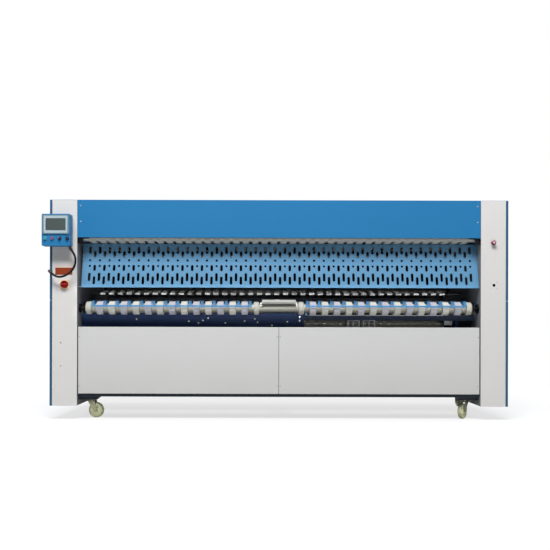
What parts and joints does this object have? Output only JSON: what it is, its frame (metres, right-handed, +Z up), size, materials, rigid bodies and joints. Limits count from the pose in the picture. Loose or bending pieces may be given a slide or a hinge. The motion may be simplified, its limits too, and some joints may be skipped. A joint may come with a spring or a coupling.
{
  "type": "linen folding machine",
  "caption": "Wide laundry folder on casters: two end cabinets, blue covers, perforated guide plate, rows of flat belts on rollers, console.",
  "frame": {"origin": "bottom centre of the bounding box: on the floor, midway between the console's left edge and the right side cover, midway in depth", "axes": "+X to the viewer's right along the machine's width, +Y to the back, away from the operator, +Z up"},
  "size_m": [3.717, 1.205, 1.766],
  "materials": {
    "blue_enamel": "satin powder coat",
    "white_enamel": "satin powder coat",
    "grey_enamel": "satin powder coat",
    "rail_enamel": "matt paint",
    "navy_enamel": "matt paint",
    "guide_enamel": "satin powder coat",
    "pale_enamel": "satin powder coat",
    "roller_steel": "turned",
    "bright_steel": "bright zinc plate",
    "zinc_steel": "zinc plate",
    "bearing_iron": "machined",
    "motor_paint": "gloss paint",
    "belt_fabric": "woven belt",
    "beige_belt_fabric": "woven belt",
    "black_rubber": "moulded",
    "wheel_nylon": "moulded",
    "cream_nylon": "moulded",
    "grey_plastic": "moulded",
    "screen_glass": "anti-glare",
    "green_plastic": "moulded",
    "red_plastic": "moulded",
    "black_plastic": "moulded",
    "white_plastic": "moulded",
    "label_film": "film"
  },
  "bodies": {
    "frame": {"base_rails": "rail_enamel", "caster_top_plates": "zinc_steel", "end_frames": "grey_enamel", "left_column_cover": "white_enamel", "right_column_cover": "white_enamel", "side_covers": "blue_enamel", "roof_panels": "blue_enamel", "top_front_cover": "blue_enamel", "rear_upper_cover": "blue_enamel", "rear_panels": "white_enamel", "front_panels": "white_enamel", "cover_screws": "zinc_steel", "guide_plate": "guide_enamel", "top_belts": "belt_fabric", "fold_belts": "belt_fabric", "front_belts": "belt_fabric", "delivery_belts": "beige_belt_fabric", "belt_nose_bars": "roller_steel", "roller_bearings": "bearing_iron", "drive_belts": "black_rubber", "drive_motors": "motor_paint", "comb_guides": "guide_enamel", "centre_nozzle_box": "pale_enamel", "inner_front_panel": "navy_enamel", "cross_beams": "navy_enamel", "delivery_brackets": "bright_steel", "air_pipe": "zinc_steel", "electrical_box": "grey_enamel", "console_box": "blue_enamel", "console_bracket": "zinc_steel", "screen_bezel": "grey_plastic", "screen_glass": "screen_glass", "button_collars": "black_plastic", "buzzer": "black_plastic", "switch_bodies": "white_plastic", "panel_socket": "black_plastic", "label_plate": "label_film", "conduit_fittings": "black_plastic", "conduit": "black_plastic", "knife_cylinder": "zinc_steel"},
    "top_roller": {"top_roller": "roller_steel"},
    "fold_roller": {"fold_roller": "roller_steel"},
    "front_roller": {"front_roller_tube": "roller_steel", "front_roller_wheels": "cream_nylon"},
    "delivery_roller": {"delivery_roller": "roller_steel"},
    "fold_knife": {"fold_knife": "bright_steel"},
    "green_button": {"green_button": "green_plastic"},
    "red_button": {"red_button": "red_plastic"},
    "selector_knob": {"selector_knob": "black_plastic"},
    "isolator_knob": {"isolator_knob": "red_plastic"},
    "stop_stem": {"stop_stem": "black_plastic"},
    "stop_head": {"stop_head": "red_plastic"},
    "front_left_fork": {"front_left_fork": "zinc_steel"},
    "front_left_wheel": {"front_left_wheel": "wheel_nylon"},
    "front_right_fork": {"front_right_fork": "zinc_steel"},
    "front_right_wheel": {"front_right_wheel": "wheel_nylon"},
    "rear_left_fork": {"rear_left_fork": "zinc_steel"},
    "rear_left_wheel": {"rear_left_wheel": "wheel_nylon"},
    "rear_right_fork": {"rear_right_fork": "zinc_steel"},
    "rear_right_wheel": {"rear_right_wheel": "wheel_nylon"}
  },
  "joints": [
    {"name": "fold_roller_spin", "type": "hinge", "parent": "frame", "child": "fold_roller", "pos_m": [0.0185, 0.4325, 1.085], "axis": [1, 0, 0], "continuous": true},
    {"name": "top_roller_spin", "type": "hinge", "parent": "frame", "child": "top_roller", "pos_m": [0.0185, -0.4475, 1.462], "axis": [1, 0, 0], "continuous": true},
    {"name": "front_roller_spin", "type": "hinge", "parent": "frame", "child": "front_roller", "pos_m": [0.0185, -0.4225, 0.9], "axis": [1, 0, 0], "continuous": true},
    {"name": "delivery_roller_spin", "type": "hinge", "parent": "frame", "child": "delivery_roller", "pos_m": [0.0185, -0.1775, 0.775], "axis": [1, 0, 0], "continuous": true},
    {"name": "knife_lift", "type": "slide", "parent": "frame", "child": "fold_knife", "axis": [0, 0, 1], "range_m": [0, 0.04]},
    {"name": "green_button_press", "type": "slide", "parent": "frame", "child": "green_button", "axis": [0, 1, 0], "range_m": [0, 0.004], "stiffness_N_per_m": 800},
    {"name": "red_button_press", "type": "slide", "parent": "frame", "child": "red_button", "axis": [0, 1, 0], "range_m": [0, 0.004], "stiffness_N_per_m": 800},
    {"name": "selector_turn", "type": "hinge", "parent": "frame", "child": "selector_knob", "pos_m": [-1.716, -0.5875, 1.4445], "axis": [0, 1, 0], "range_deg": [-45, 45]},
    {"name": "isolator_turn", "type": "hinge", "parent": "frame", "child": "isolator_knob", "pos_m": [-1.7015, -0.5175, 1.086], "axis": [0, 1, 0], "range_deg": [0, 90]},
    {"name": "stop_press", "type": "slide", "parent": "frame", "child": "stop_stem", "axis": [0, 1, 0], "range_m": [0, 0.004]},
    {"name": "stop_twist", "type": "hinge", "parent": "stop_stem", "child": "stop_head", "pos_m": [1.7355, -0.5135, 1.427], "axis": [0, 1, 0], "range_deg": [0, 30], "stiffness_Nm_per_rad": 0.05},
    {"name": "front_left_swivel", "type": "hinge", "parent": "frame", "child": "front_left_fork", "pos_m": [-1.5175, -0.3475, 0.14], "axis": [0, 0, 1], "continuous": true},
    {"name": "front_left_roll", "type": "hinge", "parent": "front_left_fork", "child": "front_left_wheel", "pos_m": [-1.47987, -0.35279, 0.0625], "axis": [0.1392, 0.9903, 0], "continuous": true},
    {"name": "front_right_swivel", "type": "hinge", "parent": "frame", "child": "front_right_fork", "pos_m": [1.5545, -0.3475, 0.14], "axis": [0, 0, 1], "continuous": true},
    {"name": "front_right_roll", "type": "hinge", "parent": "front_right_fork", "child": "front_right_wheel", "pos_m": [1.52907, -0.37574, 0.0625], "axis": [0.7431, -0.6691, 0], "continuous": true},
    {"name": "rear_left_swivel", "type": "hinge", "parent": "frame", "child": "rear_left_fork", "pos_m": [-1.7035, 0.4025, 0.14], "axis": [0, 0, 1], "continuous": true},
    {"name": "rear_left_roll", "type": "hinge", "parent": "rear_left_fork", "child": "rear_left_wheel", "pos_m": [-1.7035, 0.4305, 0.0625], "axis": [-1, 0, 0], "continuous": true},
    {"name": "rear_right_swivel", "type": "hinge", "parent": "frame", "child": "rear_right_fork", "pos_m": [1.7405, 0.4025, 0.14], "axis": [0, 0, 1], "continuous": true},
    {"name": "rear_right_roll", "type": "hinge", "parent": "rear_right_fork", "child": "rear_right_wheel", "pos_m": [1.7405, 0.4305, 0.0625], "axis": [-1, 0, 0], "continuous": true}
  ],
  "couplings": [
    {"joint": "top_roller_spin", "follows": "fold_roller_spin", "ratio": 1},
    {"joint": "delivery_roller_spin", "follows": "front_roller_spin", "ratio": 1.5217}
  ]
}
